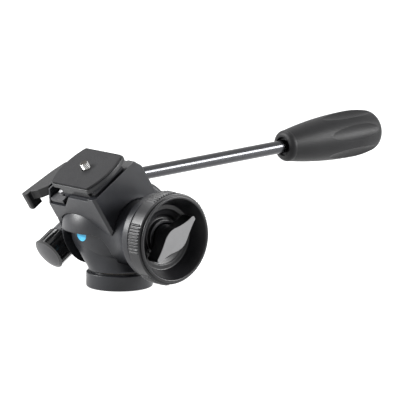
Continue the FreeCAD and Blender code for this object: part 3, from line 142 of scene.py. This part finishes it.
class Finish:
    """One procedural material, built up node by node on the shader's own sockets."""

    def __init__(self, name):
        self.mat = bpy.data.materials.new(name)
        self.mat.use_nodes = True
        self.nodes = self.mat.node_tree.nodes
        self.links = self.mat.node_tree.links
        self.shader = self.nodes["Principled BSDF"]
        self.place = self.nodes.new("ShaderNodeTexCoord").outputs["Object"]

    def set(self, **values):
        for name, value in values.items():
            self.shader.inputs[name.replace("_", " ")].default_value = value
        return self

    def noise(self, scale, detail=3.0, roughness=0.55, stretch=None, turn=None):
        place = self.place
        if stretch:
            mapping = self.nodes.new("ShaderNodeMapping")
            if turn:
                first = self.nodes.new("ShaderNodeMapping")
                first.inputs["Rotation"].default_value = turn
                self.links.new(place, first.inputs["Vector"])
                place = first.outputs["Vector"]
            mapping.inputs["Scale"].default_value = stretch
            self.links.new(place, mapping.inputs["Vector"])
            place = mapping.outputs["Vector"]
        node = self.nodes.new("ShaderNodeTexNoise")
        node.inputs["Scale"].default_value = scale
        node.inputs["Detail"].default_value = detail
        node.inputs["Roughness"].default_value = roughness
        self.links.new(place, node.inputs["Vector"])
        return node.outputs["Fac"]

    def cells(self, scale):
        node = self.nodes.new("ShaderNodeTexVoronoi")
        node.inputs["Scale"].default_value = scale
        self.links.new(self.place, node.inputs["Vector"])
        return node.outputs["Distance"]

    def ramp(self, value, stops):
        node = self.nodes.new("ShaderNodeValToRGB")
        points = node.color_ramp.elements
        while len(points) < len(stops):
            points.new(0.5)
        for point, (at, colour) in zip(points, stops):
            point.position = at
            point.color = (*colour, 1.0)
        self.links.new(value, node.inputs["Fac"])
        return node.outputs["Color"]

    def spread(self, value, low, high, out_low, out_high):
        node = self.nodes.new("ShaderNodeMapRange")
        node.inputs["From Min"].default_value = low
        node.inputs["From Max"].default_value = high
        node.inputs["To Min"].default_value = out_low
        node.inputs["To Max"].default_value = out_high
        self.links.new(value, node.inputs["Value"])
        return node.outputs["Result"]

    def maths(self, kind, first, second):
        node = self.nodes.new("ShaderNodeMath")
        node.operation = kind
        for socket, value in zip(node.inputs, (first, second)):
            if isinstance(value, (int, float)):
                socket.default_value = value
            else:
                self.links.new(value, socket)
        return node.outputs["Value"]

    def blend(self, factor, first, second):
        node = self.nodes.new("ShaderNodeMix")
        node.data_type = "RGBA"
        self.links.new(factor, node.inputs["Factor"])
        for socket, value in ((node.inputs["A"], first), (node.inputs["B"], second)):
            if isinstance(value, tuple):
                socket.default_value = (*value, 1.0)
            else:
                self.links.new(value, socket)
        return node.outputs["Result"]

    def height_along(self, direction, start, finish):
        """0 to 1 as a point goes from one distance to another along a direction in the row's frame."""
        node = self.nodes.new("ShaderNodeVectorMath")
        node.operation = "DOT_PRODUCT"
        node.inputs[1].default_value = direction
        self.links.new(self.place, node.inputs[0])
        return self.spread(node.outputs["Value"], start, finish, 0.0, 1.0)

    def off_axis(self, foot, direction):
        """Distance of a point from an axis through foot."""
        arm = self.nodes.new("ShaderNodeVectorMath")
        arm.operation = "SUBTRACT"
        arm.inputs[1].default_value = foot
        self.links.new(self.place, arm.inputs[0])
        flat = self.nodes.new("ShaderNodeVectorMath")
        flat.operation = "CROSS_PRODUCT"
        flat.inputs[1].default_value = direction
        self.links.new(arm.outputs["Vector"], flat.inputs[0])
        size = self.nodes.new("ShaderNodeVectorMath")
        size.operation = "LENGTH"
        self.links.new(flat.outputs["Vector"], size.inputs[0])
        return size.outputs["Value"]

    def colour(self, value):
        self.links.new(value, self.shader.inputs["Base Color"])
        return self

    def rough(self, value):
        self.links.new(value, self.shader.inputs["Roughness"])
        return self

    def bump(self, height, distance, strength=1.0):
        node = self.nodes.new("ShaderNodeBump")
        node.inputs["Distance"].default_value = distance
        node.inputs["Strength"].default_value = strength
        self.links.new(height, node.inputs["Height"])
        self.links.new(node.outputs["Normal"], self.shader.inputs["Normal"])
        return self


def shade(colour, amount):
    return tuple(channel * amount for channel in colour)


def cast_finish(name, colour, rough, grain, depth, variation=0.18):
    """Painted or moulded black: cloudy tone, fine pebbled grain and uneven gloss."""
    made = Finish(name)
    clouds = made.noise(CLOUDS, 4.0)
    fine = made.noise(grain, 2.0)
    dark, light = shade(colour, 1 - variation), shade(colour, 1 + variation)
    made.colour(made.ramp(clouds, [(0.3, dark), (0.7, light)]))
    patches = made.maths("ADD", made.noise(GLOSS_PATCHES, 3.0), fine)
    made.rough(made.spread(patches, 0.6, 1.4, rough - 0.05, rough + 0.07))
    made.bump(fine, depth)
    made.set(Specular_IOR_Level=SATIN_LEVEL)
    return made


def metal_finish(name, colour, rough, stretch, turn=None, depth=0.000004):
    """Turned or drawn metal with fine lines along one direction."""
    made = Finish(name)
    lines = made.noise(900, 3.0, stretch=stretch, turn=turn)
    stain = made.noise(120, 3.0)
    made.set(Metallic=1.0)
    made.colour(made.ramp(stain, [(0.3, shade(colour, 0.86)), (0.7, colour)]))
    made.rough(made.spread(lines, 0.3, 0.7, rough - 0.05, rough + 0.08))
    made.bump(lines, depth)
    return made


def rubber_finish(name, light, dark, rough, grain, depth):
    made = Finish(name)
    pebbles = made.cells(grain)
    wear = made.noise(70, 4.0)
    made.colour(made.ramp(wear, [(0.32, dark), (0.68, light)]))
    made.rough(made.spread(pebbles, 0.0, 0.8, rough + 0.08, rough - 0.06))
    made.bump(made.maths("ADD", pebbles, made.noise(grain * 1.7, 2.0)), depth)
    made.set(Specular_IOR_Level=RUBBER_LEVEL)
    return made


def painted_sheen_finish(name, body, face, direction, at, step, rough, face_rough):
    """Gloss black moulding whose flat face, at a distance along a direction, is painted satin grey as a
    painted reflection.
    """
    made = Finish(name)
    step = made.height_along(direction, at + step[0], at + step[1])
    clouds = made.noise(FACED_CLOUDS, 3.0)
    # Painted reflection: the flat face's tone, a paler grey than the gloss black body
    painted_sheen_tone = made.ramp(clouds, [(0.3, shade(face, 0.94)), (0.7, shade(face, 1.05))])
    body_tone = made.ramp(clouds, [(0.3, shade(body, 0.8)), (0.7, shade(body, 1.25))])
    made.colour(made.blend(step, body_tone, painted_sheen_tone))
    made.rough(made.spread(step, 0.0, 1.0, rough, face_rough))
    made.bump(made.noise(FACED_GRAIN, 2.0), 0.000006)
    return made


def thread_root_shade_finish():
    """Plated steel, bright on the thread's crests, with painted shade darkening its roots."""
    made = Finish("thread_steel")
    out = made.off_axis(LEVEL @ Vector((0, 0, 0)), PLATE_UP)
    # Painted shade: the colour darkens towards the thread's roots, where shade falls between the crests
    depth = made.spread(out, STUD_R - STUD_THREAD_DEPTH, STUD_R - THREAD_CREST, 0.0, 1.0)
    made.set(Metallic=1.0)
    made.colour(made.ramp(depth, [(0.15, (0.05, 0.045, 0.04)), (0.75, BRIGHT_STEEL)]))
    made.rough(made.spread(made.noise(1500, 3.0), 0.3, 0.7, 0.16, 0.30))
    made.bump(made.noise(3000, 2.0), 0.000004)
    return made


LEVEL_TURN = LEVEL.to_3x3()
X_AXIS = Vector((1, 0, 0))
FRONT = LEVEL_TURN @ Vector((0, -1, 0))
PLATE_UP = LEVEL_TURN @ Vector((0, 0, 1))


def make_finishes():
    knob_face = FRONT.dot(LEVEL @ Vector((0, KNOB_FACE_Y, 0)))
    wing_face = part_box("wing_key")[1].x
    made = {
        "black_casting": cast_finish("black_casting", BLACK_CAST, 0.36, 1900, 0.000035),
        "platform_casting": cast_finish("platform_casting", PLATFORM_BLACK, 0.33, 2300, 0.000022),
        "plate_alloy": cast_finish("plate_alloy", PLATE_BLACK, 0.30, 2600, 0.000015),
        "cup_plastic": cast_finish("cup_plastic", CUP_BLACK, 0.34, 2400, 0.000018),
        "lever_plastic": cast_finish("lever_plastic", LEVER_BLACK, 0.40, 2100, 0.00003),
        # The side knob and the wing key get a painted reflection on their flat faces
        "gloss_knob": painted_sheen_finish("gloss_knob", GLOSS_BLACK, KNOB_FACE_SHEEN_GREY, FRONT, knob_face, KNOB_STEP,
                                   0.16, 0.42),
        "grey_plastic": painted_sheen_finish("grey_plastic", GLOSS_BLACK, WING_FACE_SHEEN_GREY, X_AXIS, wing_face,
                                     WING_STEP, 0.28, 0.48),
        "grip_rubber": rubber_finish("grip_rubber", GRIP_BLACK, shade(GRIP_BLACK, 0.75), 0.50, 1700, 0.00004),
        "pad_rubber": rubber_finish("pad_rubber", PAD_GREY, PAD_DARK, 0.72, 2100, 0.00008),
        "rod_alloy": metal_finish("rod_alloy", ROD_DARK, 0.20, ROD_LINES, turn=ROD_TURN),
        "bare_alloy": metal_finish("bare_alloy", STEEL, 0.34, TURNED_LINES),
        "steel": metal_finish("steel", STEEL, 0.30, TURNED_LINES),
        "spring_steel": metal_finish("spring_steel", shade(STEEL, 0.6), 0.34, (0.1, 1, 1)),
        "bright_steel": metal_finish("bright_steel", BRIGHT_STEEL, 0.14, (1, 1, 0.2), depth=0.000002),
        "thread_steel": thread_root_shade_finish(),
        "bronze": metal_finish("bronze", BRONZE, 0.38, (0.2, 1, 1)),
        "slip_ring": cast_finish("slip_ring", SLIP_TAN, 0.55, 1500, 0.00002),
        "grey_metal": cast_finish("grey_metal", SLIDER_GREY, 0.36, 1800, 0.00002),
        "blue_marker": cast_finish("blue_marker", MARKER_BLUE, 0.38, 1500, 0.000012, 0.05),
    }
    return {name: finish.mat for name, finish in made.items()}


def dress_nodes(finishes):
    """Give every CAD node the finish of its own slot."""
    for name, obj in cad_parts.items():
        slot = NODE_FINISH[name]
        obj.data.materials.clear()
        obj.data.materials.append(finishes[slot])


def copy_of_node(node):
    """A welded copy of a CAD node's mesh, as an object of its own."""
    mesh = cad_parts[node].data.copy()
    obj = bpy.data.objects.new(node + "_soft", mesh)
    bpy.context.collection.objects.link(obj)
    cleaned = bmesh.new()
    cleaned.from_mesh(mesh)
    bmesh.ops.remove_doubles(cleaned, verts=cleaned.verts, dist=0.004 * MM)
    cleaned.to_mesh(mesh)
    cleaned.free()
    return obj


def apply_modifiers(obj):
    graph = bpy.context.evaluated_depsgraph_get()
    mesh = bpy.data.meshes.new_from_object(obj.evaluated_get(graph))
    obj.modifiers.clear()
    old = obj.data
    obj.data = mesh
    bpy.data.meshes.remove(old)


def softened(node, body, finish, voxel_mm, steps, keep, placed=LEVEL):
    """A cast or moulded piece with its edges rounded over, made from its own solid and standing for it."""
    obj = copy_of_node(node)
    obj.data.transform(placed.inverted())
    remesh = obj.modifiers.new("remesh", "REMESH")
    remesh.mode = "VOXEL"
    remesh.voxel_size = voxel_mm * MM
    smooth = obj.modifiers.new("smooth", "SMOOTH")
    smooth.factor = 0.5
    smooth.iterations = steps
    thin = obj.modifiers.new("thin", "DECIMATE")
    thin.ratio = keep
    apply_modifiers(obj)
    obj.data.transform(placed)
    obj.data.materials.clear()
    obj.data.materials.append(finish)
    for polygon in obj.data.polygons:
        polygon.use_smooth = True
    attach(obj, body)
    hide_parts(node)
    return obj


def mesh_object(name, build, finish, body, smooth_deg=35.0):
    """An object from a function that fills a bmesh."""
    made = bmesh.new()
    build(made)
    bmesh.ops.remove_doubles(made, verts=made.verts, dist=0.002 * MM)
    bmesh.ops.recalc_face_normals(made, faces=made.faces)
    mesh = bpy.data.meshes.new(name)
    made.to_mesh(mesh)
    made.free()
    obj = bpy.data.objects.new(name, mesh)
    bpy.context.collection.objects.link(obj)
    mesh.materials.append(finish)
    mesh.shade_smooth()
    mesh.set_sharp_from_angle(angle=math.radians(smooth_deg))
    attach(obj, body)
    return obj


def ring(made, radius, height, count):
    verts = []
    for index in range(count):
        angle = 2 * math.pi * index / count
        r = radius(angle) if callable(radius) else radius
        verts.append(made.verts.new((r * math.cos(angle), r * math.sin(angle), height)))
    return verts


def bridge(made, low, high):
    count = len(low)
    for index in range(count):
        after = (index + 1) % count
        made.faces.new((low[index], low[after], high[after], high[index]))


def thread_radius(height, angle):
    """The radius of a V thread at a height and angle, with its lead at the top tapered away."""
    turn = (height / STUD_PITCH - angle / (2 * math.pi)) % 1.0
    ridge = 1 - abs(2 * turn - 1)
    ridge = min(1.0, max(0.0, ridge * THREAD_STEEPNESS - THREAD_ROOT))
    lead = min(1.0, max(0.0, (STUD_TOP - height) / STUD_LEAD))
    return (STUD_R - STUD_THREAD_DEPTH * (1 - ridge)) - LEAD_DROP * (1 - lead)


def build_stud(made):
    """The camera screw: head under the plate, neck, and a cut thread above the pad."""
    profile = ((STUD_CHAMFER, STUD_HEAD_LOW), (STUD_HEAD_R - STUD_CHAMFER, STUD_HEAD_LOW),
               (STUD_HEAD_R, STUD_HEAD_LOW + STUD_CHAMFER), (STUD_HEAD_R, STUD_HEAD_TOP - STUD_TOP_CHAMFER),
               (STUD_HEAD_R - STUD_TOP_CHAMFER, STUD_HEAD_TOP), (STUD_NECK_R, STUD_HEAD_TOP),
               (STUD_NECK_R, PAD_TOP))
    rings = [ring(made, r, z, STUD_SIDES) for r, z in profile]
    for index in range(STUD_RINGS + 1):
        z = PAD_TOP + (STUD_TOP - PAD_TOP) * index / STUD_RINGS
        rings.append(ring(made, lambda a, z=z: thread_radius(z, a), z, STUD_SIDES))
    for low, high in zip(rings, rings[1:]):
        bridge(made, low, high)
    made.faces.new(rings[0])
    cap = ring(made, STUD_CAP_R, STUD_TOP, STUD_SIDES)
    bridge(made, rings[-1], cap)
    made.faces.new(cap)
    bmesh.ops.transform(made, matrix=LEVEL, verts=made.verts)


def add_stud(finishes):
    stud = mesh_object("camera_stud", build_stud, finishes["thread_steel"], "plate_screw", 40)
    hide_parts("camera_screw")


def add_soft_pieces(finishes):
    softened("platform", "side_body", finishes["platform_casting"], 0.38, 3, 0.30)
    softened("tilt_yoke", "tilt_body", finishes["black_casting"], 0.42, 3, 0.25)
    softened("wing_key", "tilt_key", finishes["grey_plastic"], 0.22, 4, 0.30)
    softened("drag_cup", "drag_ring", finishes["cup_plastic"], 0.30, 3, 0.30)
    softened("qr_lever", "plate_lever", finishes["lever_plastic"], 0.32, 8, 0.35)
    softened("side_knob", "side_lock", finishes["gloss_knob"], 0.20, 4, 0.30)
    softened("pan_lock_knob", "pan_lock", finishes["cup_plastic"], 0.20, 4, 0.35, placed=UPRIGHT)
    softened("safety_slider", "lever_catch", finishes["grey_metal"], 0.15, 3, 0.35)


def add_camera():
    data = bpy.data.cameras.new("camera")
    data.lens = LENS_MM
    data.sensor_width = SENSOR_MM
    data.clip_start = 0.05
    data.clip_end = 30
    camera = bpy.data.objects.new("camera", data)
    camera.location = CAMERA_AT
    camera.rotation_euler = (CAMERA_AIM - CAMERA_AT).to_track_quat("-Z", "Y").to_euler()
    bpy.context.collection.objects.link(camera)
    bpy.context.scene.camera = camera


def seen_directly(nodes, links):
    """1 for camera, glossy and transmission rays, and 0 for the light that falls on the object."""
    path = nodes.new("ShaderNodeLightPath")
    first = nodes.new("ShaderNodeMath")
    first.operation = "MAXIMUM"
    links.new(path.outputs["Is Camera Ray"], first.inputs[0])
    links.new(path.outputs["Is Glossy Ray"], first.inputs[1])
    second = nodes.new("ShaderNodeMath")
    second.operation = "MAXIMUM"
    links.new(first.outputs[0], second.inputs[0])
    links.new(path.outputs["Is Transmission Ray"], second.inputs[1])
    return second.outputs[0]


FLOOR_HALF = 12
FLOOR_GLOW = 0.88
FLOOR_PALE = 0.46
WORLD_LIGHT = 0.07


def add_floor():
    made = bmesh.new()
    bmesh.ops.create_grid(made, x_segments=1, y_segments=1, size=FLOOR_HALF)
    mesh = bpy.data.meshes.new("floor")
    made.to_mesh(mesh)
    made.free()
    floor = bpy.data.objects.new("floor", mesh)
    bpy.context.collection.objects.link(floor)
    mat = bpy.data.materials.new("floor")
    mat.use_nodes = True
    nodes, links = mat.node_tree.nodes, mat.node_tree.links
    shader = nodes["Principled BSDF"]
    shader.inputs["Base Color"].default_value = (FLOOR_PALE, FLOOR_PALE, FLOOR_PALE, 1)
    shader.inputs["Roughness"].default_value = 0.9
    shader.inputs["Emission Color"].default_value = (1, 1, 1, 1)
    glow = nodes.new("ShaderNodeMath")
    glow.operation = "MULTIPLY"
    glow.inputs[1].default_value = FLOOR_GLOW
    links.new(seen_directly(nodes, links), glow.inputs[0])
    links.new(glow.outputs[0], shader.inputs["Emission Strength"])
    mesh.materials.append(mat)


def add_world():
    world = bpy.data.worlds.new("world")
    bpy.context.scene.world = world
    world.use_nodes = True
    nodes, links = world.node_tree.nodes, world.node_tree.links
    back = nodes["Background"]
    back.inputs["Color"].default_value = (1, 1, 1, 1)
    level = nodes.new("ShaderNodeMapRange")
    level.inputs["To Min"].default_value = WORLD_LIGHT
    level.inputs["To Max"].default_value = 1.0
    links.new(seen_directly(nodes, links), level.inputs["Value"])
    links.new(level.outputs["Result"], back.inputs["Strength"])


LAMP_AIM = Vector((0, 0.02, 0.06))
LAMPS = (
    ("key", (-0.95, -1.10, 0.70), (0.55, 0.7), 38.0),
    ("top", (-0.70, 0.10, 1.30), (0.6, 0.6), 9.0),
    ("rim", (1.00, 1.00, 0.55), (0.7, 0.5), 26.0),
)


def add_lamps():
    for name, place, size, power in LAMPS:
        data = bpy.data.lights.new(name, "AREA")
        data.shape = "RECTANGLE"
        data.size, data.size_y = size
        data.energy = power
        lamp = bpy.data.objects.new(name, data)
        lamp.location = place
        lamp.rotation_euler = (LAMP_AIM - Vector(place)).to_track_quat("-Z", "Y").to_euler()
        bpy.context.collection.objects.link(lamp)


add_camera()
finishes = make_finishes()
dress_nodes(finishes)
add_soft_pieces(finishes)
add_stud(finishes)
add_floor()
add_world()
add_lamps()
bpy.context.scene.view_settings.view_transform = "Standard"
